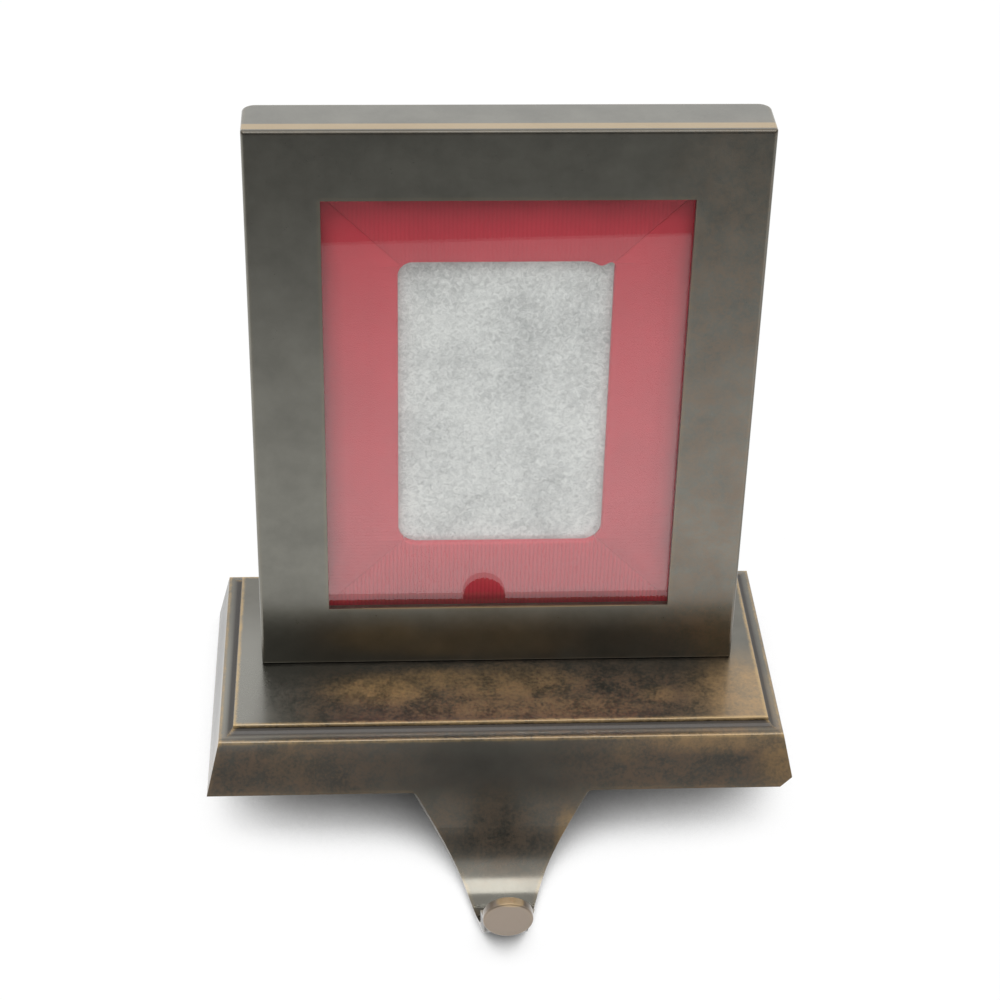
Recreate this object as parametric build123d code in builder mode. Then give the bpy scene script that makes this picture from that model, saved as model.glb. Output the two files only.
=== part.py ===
"""Mantel stocking holder: a small picture frame standing on a heavy moulded plinth.

The plinth rests on the mantel shelf. Its front face sweeps down and forward into a hook with a
flat round knob at its tip, which keeps the stocking's loop on. The frame opens at the back, where
turn buttons hold a panel over the glass, the ribbon mat and the foam sheet behind it.

Millimetres. +X is to the right, +Y to the back, +Z up. The origin is the middle of the felt's
underside, where the holder meets the shelf.
"""

from build123d import *
import os
from math import atan2, cos, degrees, radians, sin

os.makedirs("parts", exist_ok=True)

# Plinth: a plate on top, an upright step, a cove out to the rim, then a bevel down to the foot
plate_width = 113.0
plate_depth = 53.2
plinth_height = 14.4
step_height = 0.9
cove_width = 3.0
cove_drop = 1.25
cove_hollow = 0.4
bevel_flare = 2.85
plate_edge_round = 0.3
rim_edge_round = 0.45
worn_corner_run = 3.0
worn_corner_rise = 2.2

# Hook: it runs on down the bevel, drops on one arc, turns up on a tighter one and ends in a straight
# tip, whose lean is counted from upright
hook_thickness = 2.2
tip_thickness = 1.8
root_lead = 8.4
drop_radius = 15.8
drop_angle = 62.0
rise_radius = 7.6
tip_run = 7.5
tip_lean = 30.0
root_lap = 3.2
root_fillet = 1.2

# The hook's outline, seen from the front and above: wide at the root, narrowing to the tip
outline_tilt = 37.0
outline_lap = 4.6
root_width = 43.0
root_splay = 33.0
waist_fall = 14.7
waist_width = 19.0
tip_width = 9.0
tip_splay = 20.0

# Flat round knob on the hook's tip, leaning less than the tip does
knob_diameter = 10.4
knob_thickness = 1.9
knob_lean = 8.0
knob_lap = 0.7
knob_rise = 0.7
knob_edge_round = 0.35

# Felt glued under the plinth
felt_thickness = 1.2
felt_inset = 6.5
felt_corner = 3.0

# Picture frame, cast in one piece, with a rebate let in from the back
frame_width = 102.0
frame_height = 126.5
frame_depth = 12.0
rail_width = 14.7
lip_lap = 2.0
lip_thickness = 1.3
frame_front_round = 0.7
frame_back_corner = 2.5
frame_back_round = 0.4

# What the rebate holds, from the glass at the front to the panel at the back
rebate_clearance = 0.4
glass_thickness = 2.0
mat_thickness = 1.5
window_margin = 14.9
window_corner = 3.0
panel_thickness = 3.0

# Turn buttons: stamped blades with a lifted tip, each turning on its own screw
blade_thickness = 0.8
blade_pivot_radius = 3.4
blade_tip_radius = 2.4
blade_lap = 5.5
lifted_length = 3.0
lift_angle = 18.0
blade_play = 0.1
pivot_from_rebate = 5.0
pivot_spacing = 62.0
pivot_screw_radius = 1.1
pivot_screw_depth = 6.0
pivot_head_radius = 2.3
pivot_head_height = 1.2
pivot_head_chamfer = 0.4
pivot_slot_width = 0.6
pivot_slot_depth = 0.6

# Screws that hold the frame down, from under the plinth
frame_screw_spacing = 60.0
frame_screw_radius = 2.0
frame_screw_bite = 8.0
frame_head_radius = 3.5
frame_head_height = 2.6
frame_head_recess = 7.0
frame_socket_width = 2.5
frame_socket_depth = 1.4

# Room round the screws
screw_clearance = 0.05
head_clearance = 0.5

# Places worked out from the sizes above
foot_z = felt_thickness
plate_z = foot_z + plinth_height
rim_z = plate_z - step_height - cove_drop
foot_flare = cove_width + bevel_flare
foot_width = plate_width + 2 * foot_flare
foot_depth = plate_depth + 2 * foot_flare
frame_middle_z = plate_z + frame_height / 2
opening_width = frame_width - 2 * rail_width
opening_height = frame_height - 2 * rail_width
rebate_width = opening_width + 2 * lip_lap
rebate_height = opening_height + 2 * lip_lap
leaf_width = rebate_width - 2 * rebate_clearance
leaf_height = rebate_height - 2 * rebate_clearance
frame_front_y = -frame_depth / 2
frame_back_y = frame_depth / 2
glass_y = frame_front_y + lip_thickness
mat_y = glass_y + glass_thickness
foam_y = mat_y + mat_thickness
panel_y = frame_back_y - panel_thickness
blade_y = frame_back_y + blade_play
head_y = blade_y + blade_thickness + blade_play
blade_reach = pivot_from_rebate + blade_lap
pivot_x = rebate_width / 2 + pivot_from_rebate
head_seat_z = foot_z + frame_head_recess


def back_facing(x, y, z):
    """A plane at the given point that faces the back, with its own y axis pointing up."""
    return Plane(origin=(x, y, z), x_dir=(-1, 0, 0), z_dir=(0, 1, 0))


def moulded_section(half_plate):
    """The plinth's section, with the plate's half width given, drawn with x across and y up."""
    with BuildSketch() as section:
        with BuildLine():
            top = Polyline((0, plate_z), (half_plate, plate_z), (half_plate, plate_z - step_height))
            cove = SagittaArc(top @ 1, (half_plate + cove_width, rim_z), -cove_hollow)
            Polyline(cove @ 1, (half_plate + foot_flare, foot_z), (0, foot_z))
            mirror(about=Plane.YZ)
        make_face()
        fillet(section.vertices().group_by(Axis.Y)[-1], plate_edge_round)
        fillet(section.vertices().group_by(Axis.Y)[1], rim_edge_round)
    return section.sketch


# The hook's section and outline, worked out from the plinth's front foot edge
bevel_angle = degrees(atan2(rim_z - foot_z, bevel_flare))
bevel_way = Vector(-cos(radians(bevel_angle)), -sin(radians(bevel_angle)))
bevel_inward = Vector(sin(radians(bevel_angle)), -cos(radians(bevel_angle)))
foot_front = Vector(-foot_depth / 2, foot_z)
rise_angle = 90 + bevel_angle - drop_angle - tip_lean
tip_way = Vector(-sin(radians(tip_lean)), cos(radians(tip_lean)))
tip_outward = Vector(-cos(radians(tip_lean)), -sin(radians(tip_lean)))
knob_outward = Vector(-cos(radians(knob_lean)), -sin(radians(knob_lean)))
outline_plane = Plane(
    origin=(0, foot_front.X, foot_front.Y),
    x_dir=(1, 0, 0),
    z_dir=(0, -sin(radians(outline_tilt)), cos(radians(outline_tilt))),
)

# The knock that took the foot's front right corner off, as a plane facing out through three points
foot_corner = Vector(foot_width / 2, foot_front.X, foot_z)
mitre_way = Vector(-bevel_flare, bevel_flare, rim_z - foot_z)
worn_up = foot_corner + mitre_way * (worn_corner_rise / mitre_way.Z)
worn_left = foot_corner - (worn_corner_run, 0, 0)
worn_back = foot_corner + (0, worn_corner_run, 0)
worn_corner_plane = Plane(origin=worn_up, z_dir=(worn_left - worn_up).cross(worn_back - worn_up))

with BuildPart() as hook:
    with BuildSketch(Plane.YZ):
        with BuildLine():
            upper_lead = Line(foot_front - bevel_way * root_lap, foot_front + bevel_way * root_lead)
            upper_drop = JernArc(upper_lead @ 1, upper_lead % 1, drop_radius, -drop_angle)
            upper_rise = JernArc(upper_drop @ 1, upper_drop % 1, rise_radius, -rise_angle)
            upper_tip = Line(upper_rise @ 1, upper_rise @ 1 + tip_way * tip_run)
            tip_front = upper_tip @ 1 + tip_outward * tip_thickness
            under_skin = bevel_inward * hook_thickness
            lower_lead = Line(upper_lead @ 0 + under_skin, upper_lead @ 1 + under_skin)
            lower_drop = JernArc(lower_lead @ 1, lower_lead % 1, drop_radius + hook_thickness, -drop_angle)
            lower_rise = JernArc(lower_drop @ 1, lower_drop % 1, rise_radius + hook_thickness, -rise_angle)
            Polyline(lower_rise @ 1, tip_front, upper_tip @ 1)
            Line(lower_lead @ 0, upper_lead @ 0)
        make_face()
    extrude(amount=foot_width / 2, both=True)
    hook_fall = outline_plane.to_local_coords(hook.part).bounding_box().min.Y
    with BuildSketch(outline_plane):
        with BuildLine():
            side = Spline(
                (root_width / 2, outline_lap),
                (waist_width / 2, -waist_fall),
                (tip_width / 2, hook_fall),
                tangents=[
                    (-sin(radians(splay)), -cos(radians(splay))) for splay in (root_splay, tip_splay)
                ],
            )
            past_hook = hook_fall - tip_thickness
            Polyline(side @ 1, (tip_width / 2, past_hook), (0, past_hook))
            Line((0, outline_lap), side @ 0)
            mirror(about=Plane.YZ)
        make_face()
    extrude(amount=foot_depth, both=True, mode=Mode.INTERSECT)

with BuildPart() as plinth:
    with BuildSketch(Plane.XZ):
        add(moulded_section(plate_width / 2))
    extrude(amount=foot_depth / 2, both=True)
    with BuildSketch(Plane.YZ):
        add(moulded_section(plate_depth / 2))
    extrude(amount=foot_width / 2, both=True, mode=Mode.INTERSECT)
    add(hook.part)
    foot_edges = faces().filter_by(Axis.Z).sort_by(SortBy.AREA)[-1].edges()
    root_edges = foot_edges.filter_by(lambda edge: foot_front.X < edge.center().Y < foot_front.X / 2)
    root_edges = root_edges.filter_by(lambda edge: abs(edge.center().X) < root_width / 2)
    fillet(root_edges, root_fillet)
    knob_seat = tip_front + Vector(knob_lap, knob_rise)
    with BuildSketch(
        Plane(
            origin=(0, knob_seat.X, knob_seat.Y),
            x_dir=(1, 0, 0),
            z_dir=(0, knob_outward.X, knob_outward.Y),
        )
    ):
        Circle(knob_diameter / 2)
    extrude(amount=knob_thickness)
    fillet(edges().group_by(Axis.Y)[0], knob_edge_round)
    with Locations(Plane(origin=(0, 0, foot_z), z_dir=(0, 0, -1))):
        with GridLocations(frame_screw_spacing, 0, 2, 1):
            CounterBoreHole(
                frame_screw_radius + screw_clearance,
                frame_head_radius + head_clearance,
                frame_head_recess,
            )
    split(bisect_by=worn_corner_plane, keep=Keep.BOTTOM)
plinth.part.label = "plinth_with_hook"
export_step(plinth.part, "parts/plinth_with_hook.step")

with BuildPart() as felt:
    with BuildSketch():
        RectangleRounded(foot_width - 2 * felt_inset, foot_depth - 2 * felt_inset, felt_corner)
    extrude(amount=felt_thickness)
felt.part.label = "felt_pad"
export_step(felt.part, "parts/felt_pad.step")

# Picture frame
with BuildPart() as frame:
    with BuildSketch(back_facing(0, frame_front_y, frame_middle_z)):
        Rectangle(frame_width, frame_height)
    extrude(amount=frame_depth)
    outer_uprights = edges().filter_by(Axis.Z).group_by(Axis.Y)
    fillet(outer_uprights[-1], frame_back_corner)
    fillet(faces().sort_by(Axis.Y)[0].edges(), frame_front_round)
    fillet(faces().sort_by(Axis.Y)[-1].edges(), frame_back_round)
    with BuildSketch(back_facing(0, frame_front_y, frame_middle_z)):
        Rectangle(opening_width, opening_height)
    extrude(amount=frame_depth, mode=Mode.SUBTRACT)
    with BuildSketch(back_facing(0, glass_y, frame_middle_z)):
        Rectangle(rebate_width, rebate_height)
    extrude(amount=frame_depth, mode=Mode.SUBTRACT)
    with Locations(back_facing(0, frame_back_y, frame_middle_z)):
        with GridLocations(2 * pivot_x, pivot_spacing, 2, 2):
            Hole(pivot_screw_radius + screw_clearance, pivot_screw_depth + screw_clearance)
    with Locations(Plane(origin=(0, 0, plate_z), z_dir=(0, 0, -1))):
        with GridLocations(frame_screw_spacing, 0, 2, 1):
            Hole(frame_screw_radius + screw_clearance, frame_screw_bite + screw_clearance)
frame.part.label = "picture_frame"
export_step(frame.part, "parts/picture_frame.step")

# Glass, mat, foam and panel, one behind the other in the rebate
with BuildPart() as glass:
    with BuildSketch(back_facing(0, glass_y, frame_middle_z)):
        Rectangle(leaf_width, leaf_height)
    extrude(amount=glass_thickness)
glass.part.label = "glass_pane"
export_step(glass.part, "parts/glass_pane.step")

with BuildPart() as mat:
    with BuildSketch(back_facing(0, mat_y, frame_middle_z)):
        Rectangle(leaf_width, leaf_height)
        RectangleRounded(
            opening_width - 2 * window_margin,
            opening_height - 2 * window_margin,
            window_corner,
            mode=Mode.SUBTRACT,
        )
    extrude(amount=mat_thickness)
mat.part.label = "ribbon_mat"
export_step(mat.part, "parts/ribbon_mat.step")

with BuildPart() as foam:
    with BuildSketch(back_facing(0, foam_y, frame_middle_z)):
        Rectangle(leaf_width, leaf_height)
    extrude(amount=panel_y - foam_y)
foam.part.label = "foam_sheet"
export_step(foam.part, "parts/foam_sheet.step")

with BuildPart() as panel:
    with BuildSketch(back_facing(0, panel_y, frame_middle_z)):
        Rectangle(leaf_width, leaf_height)
    extrude(amount=panel_thickness)
panel.part.label = "back_panel"
export_step(panel.part, "parts/back_panel.step")

# Turn buttons, each with its blade pointing in over the panel
for side_name, side in (("left", -1), ("right", 1)):
    for level_name, level in (("lower", -1), ("upper", 1)):
        pivot = (side * pivot_x, blade_y, frame_middle_z + level * pivot_spacing / 2)
        fold_plane = Plane(origin=pivot, x_dir=(-side, 0, 0), z_dir=(0, 0, -side))
        blade_plane = Plane(origin=pivot, x_dir=(-side, 0, 0), z_dir=(0, 1, 0))
        with BuildPart() as blade:
            with BuildSketch(fold_plane):
                with BuildLine():
                    flat = Line((-blade_pivot_radius, 0), (blade_reach - lifted_length, 0))
                    PolarLine(flat @ 1, lifted_length, lift_angle)
                    offset(amount=blade_thickness, side=Side.LEFT)
                make_face()
            extrude(amount=blade_pivot_radius, both=True)
            with BuildSketch(blade_plane):
                Circle(blade_pivot_radius)
                with Locations((blade_reach - blade_tip_radius, 0)):
                    Circle(blade_tip_radius)
                make_hull()
            extrude(amount=lifted_length, mode=Mode.INTERSECT)
            with Locations(blade_plane):
                Hole(pivot_screw_radius + screw_clearance)
        blade.part.label = f"turn_button_{side_name}_{level_name}"
        export_step(blade.part, f"parts/turn_button_{side_name}_{level_name}.step")

with BuildPart() as pivot_screws:
    with BuildSketch(back_facing(0, frame_back_y - pivot_screw_depth, frame_middle_z)):
        with GridLocations(2 * pivot_x, pivot_spacing, 2, 2):
            Circle(pivot_screw_radius)
    extrude(amount=head_y - frame_back_y + pivot_screw_depth)
    with BuildSketch(back_facing(0, head_y, frame_middle_z)):
        with GridLocations(2 * pivot_x, pivot_spacing, 2, 2):
            Circle(pivot_head_radius)
    extrude(amount=pivot_head_height)
    chamfer(edges().group_by(Axis.Y)[-1], pivot_head_chamfer)
    with BuildSketch(back_facing(0, head_y + pivot_head_height, frame_middle_z)):
        with GridLocations(2 * pivot_x, pivot_spacing, 2, 2):
            Rectangle(2 * pivot_head_radius, pivot_slot_width)
    extrude(amount=-pivot_slot_depth, mode=Mode.SUBTRACT)
pivot_screws.part.label = "turn_button_screws"
export_step(pivot_screws.part, "parts/turn_button_screws.step")

with BuildPart() as frame_screws:
    with BuildSketch(Plane.XY.offset(head_seat_z)):
        with GridLocations(frame_screw_spacing, 0, 2, 1):
            Circle(frame_screw_radius)
    extrude(amount=plate_z + frame_screw_bite - head_seat_z)
    with BuildSketch(Plane.XY.offset(head_seat_z - frame_head_height)):
        with GridLocations(frame_screw_spacing, 0, 2, 1):
            Circle(frame_head_radius)
    extrude(amount=frame_head_height)
    with BuildSketch(Plane.XY.offset(head_seat_z - frame_head_height)):
        with GridLocations(frame_screw_spacing, 0, 2, 1):
            RegularPolygon(frame_socket_width / 2, 6, major_radius=False)
    extrude(amount=frame_socket_depth, mode=Mode.SUBTRACT)
frame_screws.part.label = "frame_screws"
export_step(frame_screws.part, "parts/frame_screws.step")
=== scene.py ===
"""Looks of a mantel stocking holder: a picture frame on a plinth that sweeps down into a hook.

The castings, the glass and the fittings at the back keep their own solids and get their finishes
here. The ribbon mat, the foam sheet and the felt pad are made here as what they are. Metres. +X is
to the right, +Y to the back, +Z up, and the felt's underside is at zero.
"""

import math
from collections import namedtuple
from functools import partial

import bmesh
import bpy
from bpy.props import FloatProperty, FloatVectorProperty, PointerProperty
from bpy.types import Operator, Panel, PropertyGroup
from mathutils import Matrix, Vector, noise


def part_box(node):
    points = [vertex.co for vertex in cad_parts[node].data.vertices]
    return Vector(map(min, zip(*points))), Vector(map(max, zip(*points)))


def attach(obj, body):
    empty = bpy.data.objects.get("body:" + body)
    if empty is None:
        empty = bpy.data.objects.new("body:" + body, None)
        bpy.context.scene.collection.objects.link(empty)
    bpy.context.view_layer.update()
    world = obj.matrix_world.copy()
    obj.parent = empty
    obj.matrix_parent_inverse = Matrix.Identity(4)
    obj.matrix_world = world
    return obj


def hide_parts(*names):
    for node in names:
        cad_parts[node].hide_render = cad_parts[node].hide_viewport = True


bl_info = {
    "name": "Mantel stocking holder",
    "version": (1, 0, 0),
    "blender": (4, 5, 0),
    "location": "3D View > Sidebar > Holder",
    "description": "Finishes and soft pieces of a stocking holder with a picture frame",
    "category": "Object",
}

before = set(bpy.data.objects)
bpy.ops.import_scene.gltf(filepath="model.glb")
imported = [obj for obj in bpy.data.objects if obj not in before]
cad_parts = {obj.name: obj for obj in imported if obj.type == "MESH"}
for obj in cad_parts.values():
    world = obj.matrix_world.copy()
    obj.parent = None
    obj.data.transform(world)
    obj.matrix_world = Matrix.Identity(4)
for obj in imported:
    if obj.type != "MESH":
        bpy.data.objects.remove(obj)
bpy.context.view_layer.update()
MM = 0.001
BODY = "holder"

# How a casting is worn and shaded: spots rubbed to mottled brass, spots where the patina is thin, spots
# worn to clean brass (one on the frame is a painted highlight), spots buffed to a plain bronze, spots
# painted a pale grey sheen, spots polished smooth and spots of painted shade, then the height over which
# its edges are handled bright and the band of height in which a moulding is darkened. A spot is an oval,
# with its middle and reach in millimetres and how strong it is
Spot = namedtuple("Spot", "middle reach strength")
Wear = namedtuple(
    "Wear", "rubbed thin bare buffed greyed polished dirty handled_over dirt_over dirt_under"
)
PLINTH_WEAR = Wear(
    rubbed=(
        Spot((-25.0, -15.2, 15.6), (17.0, 7.5, 4.0), 1.0),
        Spot((-14.0, -12.0, 15.6), (13.0, 6.0, 4.0), 0.75),
        Spot((1.0, -13.6, 15.6), (22.0, 9.0, 4.0), 0.62),
        Spot((34.0, -18.4, 15.6), (6.0, 4.0, 4.0), 0.5),
        Spot((6.0, -22.0, 15.6), (34.0, 5.5, 4.0), 0.4),
        Spot((51.0, -18.0, 15.6), (15.0, 19.0, 4.0), 0.75),
        Spot((-44.0, -30.6, 9.0), (9.0, 8.0, 8.0), 0.12),
        Spot((26.2, -30.3, 10.3), (5.0, 6.0, 4.0), 0.25),
        Spot((47.0, -30.0, 12.0), (24.0, 6.0, 4.0), 0.5),
        Spot((60.5, -31.0, 7.0), (9.0, 12.0, 9.0), 0.8),
        Spot((14.0, -36.0, -9.0), (3.6, 9.0, 9.0), 0.6),
    ),
    thin=(
        Spot((4.0, -20.0, 15.6), (76.0, 20.0, 5.0), 1.0),
        Spot((46.0, -31.0, 7.0), (48.0, 14.0, 16.0), 0.8),
        Spot((-52.0, -31.0, 7.0), (48.0, 14.0, 16.0), 0.65),
        Spot((0.0, -36.0, -6.0), (34.0, 15.0, 15.0), 0.4),
    ),
    bare=(Spot((1.0, -60.3, -4.0), (6.4, 2.6, 1.7), 0.9),),
    buffed=(Spot((0.0, -60.9, -9.1), (14.0, 2.6, 14.0), 1.0),),
    # Painted sheen: a pale grey on the left end of the plate stands in for the light of its satin sheen
    greyed=(Spot((-56.0, -14.0, 15.0), (18.0, 40.0, 5.0), 0.9),),
    polished=(
        Spot((0.0, -45.0, -18.0), (24.0, 13.0, 14.0), 1.0),
        Spot((-54.0, -14.0, 15.6), (12.0, 30.0, 2.0), 0.5),
    ),
    # Painted shade: dark spots on the sides of the hook's tip, along the plinth's front, on the step
    # under the plate and on its left end, standing in for shade where the metal would mirror bright
    # light
    dirty=(
        Spot((-5.2, -55.5, -14.0), (2.2, 7.0, 9.0), 1.0),
        Spot((5.2, -55.5, -14.0), (2.2, 7.0, 9.0), 1.0),
        Spot((0.0, -31.5, 6.0), (220.0, 4.0, 10.0), 0.42),
        Spot((0.0, -28.7, 13.6), (130.0, 1.0, 1.2), 0.5),
        Spot((-61.0, 0.0, 7.3), (3.0, 45.0, 9.0), 0.3),
    ),
    handled_over=12.9,
    dirt_over=13.5,
    dirt_under=15.5,
)
FRAME_WEAR = Wear(
    rubbed=(),
    thin=(Spot((44.0, -6.0, 70.0), (22.0, 10.0, 110.0), 0.4),),
    bare=(
        Spot((0.0, -3.8, 142.1), (300.0, 1.9, 1.6), 1.0),
        # Painted highlight: a bright line along the lip of the window's lower edge stands in for light
        # on its top face
        Spot((0.0, -6.0, 30.3), (52.0, 0.7, 0.4), 1.0),
    ),
    buffed=(),
    greyed=(),
    polished=(),
    # Painted shade: dark bands along the top edge and on the front of the lower rail, standing in for
    # shade
    dirty=(
        Spot((0.0, -6.0, 142.1), (300.0, 1.3, 1.3), 0.6),
        Spot((0.0, -6.0, 19.0), (110.0, 3.0, 8.0), 0.28),
    ),
    # Higher than the frame, so its edges keep their patina
    handled_over=200.0,
    dirt_over=0.0,
    dirt_under=0.0,
)


def linear(code):
    """Turns an sRGB hex colour into linear red, green and blue."""
    channels = (int(code[i:i + 2], 16) / 255 for i in (1, 3, 5))
    return tuple(c / 12.92 if c <= 0.04045 else ((c + 0.055) / 1.055) ** 2.4 for c in channels)


def length(name, description, millimetres):
    """A property for a size, written in millimetres and kept in metres."""
    return FloatProperty(
        name=name, description=description, default=millimetres * MM, unit="LENGTH", precision=5
    )


def colour(name, description, code):
    """A property for a colour, written as sRGB hex."""
    return FloatVectorProperty(
        name=name, description=description, default=linear(code), min=0, max=1, subtype="COLOR"
    )


def share(name, description, value):
    """A property for a part of one."""
    return FloatProperty(
        name=name, description=description, default=value, min=0, max=1, subtype="FACTOR"
    )


def strength(name, description, value):
    """A property for how bright something is, where one is white."""
    return FloatProperty(name=name, description=description, default=value, min=0)


class CastingLook(PropertyGroup):
    frame_patina: colour("Frame patina", "Whole dark patina on the frame, a greenish grey", "#62615A")
    plinth_patina: colour("Plinth patina", "Whole dark patina on the plinth", "#5B5952")
    umber: colour("Umber", "Patina worn thin, with the brass showing brown", "#7C6652")
    rubbed: colour("Rubbed brass", "Brass where the patina is rubbed away", "#AD8D5F")
    # The bright brass also paints a line of highlight along the window's lower lip
    bright: colour("Bright brass", "Brass worn bare along the edges", "#A98F64")
    buffed: colour("Buffed bronze", "Pink bronze of the knob", "#766A5E")
    # Painted sheen: a pale grey that stands in for the light of a satin sheen on the patina
    greyed: colour("Greyed patina", "Pale grey bloom on the patina", "#75746E")
    # Dark colour of the darkened moulding band and of the spots of painted shade
    grime_and_shade: colour("Grime", "Dark dirt left in the moulding", "#2C2723")
    wear_width: length("Edge wear", "How far the bare brass reaches in from an edge", 1.0)
    cloud: length("Clouds", "Size of the slow changes in the patina's tone", 9.0)
    blotch: length("Blotches", "Size of the brown blotches", 5.0)
    speckle: length("Speckle", "Size of the fine spots in a blotch", 0.7)
    # Real pits are about 0.1 mm wide, too fine to show, so they are drawn this coarse
    pit: length("Pits", "Size of the fine pits that casting leaves", 0.35)
    frame_roughness: share("Frame roughness", "Roughness of the waxed frame", 0.3)
    plinth_roughness: share("Plinth roughness", "Roughness of the handled plinth", 0.4)
    polish: share("Polish", "Roughness of the hook's polished saddle", 0.14)
    wax: share("Wax", "How much clear wax lies over the patina", 0.4)


class GlassLook(PropertyGroup):
    tint: colour("Tint", "Faint green of sheet glass", "#FDFEFD")


class RibbonLook(PropertyGroup):
    crest: colour("Rib crest", "Red on the ribs", "#B72838")
    # Painted shade: the groove colour is a darker copy of the crest colour, standing in for the shade
    # between the ribs
    groove: colour("Groove", "Red between the ribs", "#9F2230")
    rib_pitch: length("Rib pitch", "From one rib to the next", 0.85)
    rib_height: length("Rib height", "How high a rib stands over its groove", 0.08)
    thickness: length("Thickness", "The ribbon's thickness", 0.42)
    window_roll: length("Window roll", "Round of the ribbon where it turns into the window", 0.45)
    mitre_roll: length("Mitre roll", "Round of the fold along a mitre", 0.08)
    mitre_gap: length("Mitre gap", "Gap between two strips at a mitre", 0.04)
    window_corner: length("Window corner", "Round of the window's upper left corner", 3.0)
    lower_corner: length("Lower corners", "Round of the window's lower corners", 4.0)
    pulled_corner: length("Pulled corner", "Round of the window's upper right corner", 1.1)
    sag: length("Sag", "Drop of the loose ribbon beside the upper right corner", 1.0)
    sag_place: length("Sag place", "From that corner to where the ribbon drops most", 2.6)
    sag_reach: length("Sag reach", "How far the drop reaches to each side", 1.5)
    flat_over: length("Flat over", "Height over which the upright strips are pulled flat", 34.0)
    # Real threads are about 0.1 mm wide, too fine to show, so they are drawn this coarse
    thread: length("Thread", "Width of the fine threads across the ribs", 0.22)
    fade: length("Fading", "Size of the faded patches", 14.0)
    board: colour("Board", "Grey pulp of the board under the ribbon", "#A7A196")
    fleck: colour("Fleck", "Pale flecks in the pulp", "#C8C3B8")
    pulp: length("Pulp", "Size of the flecks", 0.5)


class FoamLook(PropertyGroup):
    pale: colour("Pale", "White of the foam", "#D6D6D5")
    # The grey is painted shade, laid where the strands' relief is low
    shade: colour("Shade", "Grey of its mottling", "#8E8F90")
    cell: length("Cell", "Spacing of the mesh on the foam's skin", 0.6)
    pit_depth: length("Pit depth", "Depth of the pits in the foam's skin", 0.22)
    fibre: length("Fibre", "Size of the foam's strands", 1.2)
    cloud: length("Clouds", "Size of the slow changes in its white", 13.0)


class FeltLook(PropertyGroup):
    fibre: colour("Fibre", "Dark brown of the felt", "#3A332D")
    nap: colour("Nap", "Paler ends of the fibres", "#5A5149")
    cell: length("Cell", "Spacing of the mesh on the felt's skin", 0.6)
    nap_depth: length("Nap depth", "How uneven the felt's skin is", 0.16)
    tuft: length("Tuft", "Size of the tufts", 1.1)


class BackLook(PropertyGroup):
    board: colour("Board", "Black face of the hardboard panel", "#2A2826")
    scuff: colour("Scuff", "Brown fibres where the face is scuffed", "#4A4038")
    stamped: colour("Stamped brass", "Dulled brass of the turn buttons", "#B39A66")
    tarnish: colour("Tarnish", "Brown bloom on the turn buttons", "#6E5838")
    steel: colour("Steel", "Plated steel of the screws", "#B4B2AC")
    board_fibre: length("Board fibre", "Size of the pressed fibres", 0.7)
    scuff_patch: length("Scuff patches", "Size of the scuffed patches", 18.0)
    bloom: length("Bloom", "Size of the tarnish's blooms", 3.0)
    handling: length("Handling", "Size of the clouds that handling leaves on the screws", 0.9)
    # Real rolled lines and turning marks are a few hundredths wide, too fine to show, so both are
    # drawn this coarse
    rolled_line: length("Rolled lines", "Spacing of the lines that rolling leaves in sheet brass", 0.18)
    turning_mark: length("Turning marks", "Size of the marks that turning leaves on a screw", 0.12)


class StageLook(PropertyGroup):
    floor: colour("Floor", "Pale floor", "#F6F6F6")
    floor_front: length("Floor front", "How far the floor reaches to the front", 510.0)
    floor_skew: length("Floor skew", "How much farther it reaches at the right than in the middle", 41.0)
    floor_back: length("Floor back", "How far the floor reaches to the back", 420.0)
    floor_side: length("Floor side", "How far the floor reaches to each side", 420.0)
    shadow_reach: length("Shadow reach", "How far the holder's shadow reaches over the floor", 28.0)
    glow: strength("Floor glow", "Brightness in a shine of the floor near the holder", 1.85)
    far_glow: strength("Far glow", "Brightness in a shine of the floor at its front", 0.65)
    back_glow: strength("Back glow", "Brightness in a shine of the floor behind the holder", 0.95)
    floor_gap: length("Floor gap", "Gap between the floor and the holder", 0.05)
    front_room: strength("Front of the room", "Light from the dim room in front", 0.2)
    back_room: strength("Back of the room", "Light from the white room behind", 1.55)
    ceiling: strength("Ceiling", "Light from the white ceiling", 1.5)
    softbox: strength("Softbox", "Brightness of the lamp overhead", 3.4)
    softbox_width: length("Softbox width", "Width of the lamp overhead", 460.0)
    softbox_depth: length("Softbox depth", "Depth of the lamp overhead", 255.0)
    softbox_height: length("Softbox height", "Height of the lamp over the shelf", 560.0)
    softbox_front: length("Softbox front", "How far in front of the frame the lamp hangs", 200.0)
    eye: FloatVectorProperty(
        name="Camera place",
        description="Where the camera stands",
        default=(-27.52 * MM, -429.93 * MM, 345.22 * MM),
        subtype="TRANSLATION",
    )
    aim: FloatVectorProperty(
        name="Camera turn",
        description="How far the camera looks down, rolls and looks to the right",
        default=(math.radians(34.07), math.radians(1.43), math.radians(3.67)),
        subtype="EULER",
    )
    lens: FloatProperty(name="Lens", description="Focal length", default=88.78, unit="CAMERA")


def add_node(tree, kind, inputs=(), **settings):
    """Adds a node with its settings. An input is a value, or the output or the node that feeds it."""
    node = tree.nodes.new("ShaderNode" + kind)
    for name, value in settings.items():
        setattr(node, name, value)
    for name, value in dict(inputs).items():
        socket = node.inputs[name]
        if isinstance(value, bpy.types.Node):
            value = next(output for output in value.outputs if output.enabled)
        if isinstance(value, bpy.types.NodeSocket):
            tree.links.new(value, socket)
        elif isinstance(socket.default_value, bpy.types.bpy_prop_array) and len(value) == 3:
            socket.default_value = (*value, 1)[:len(socket.default_value)]
        else:
            socket.default_value = value
    return node


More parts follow.
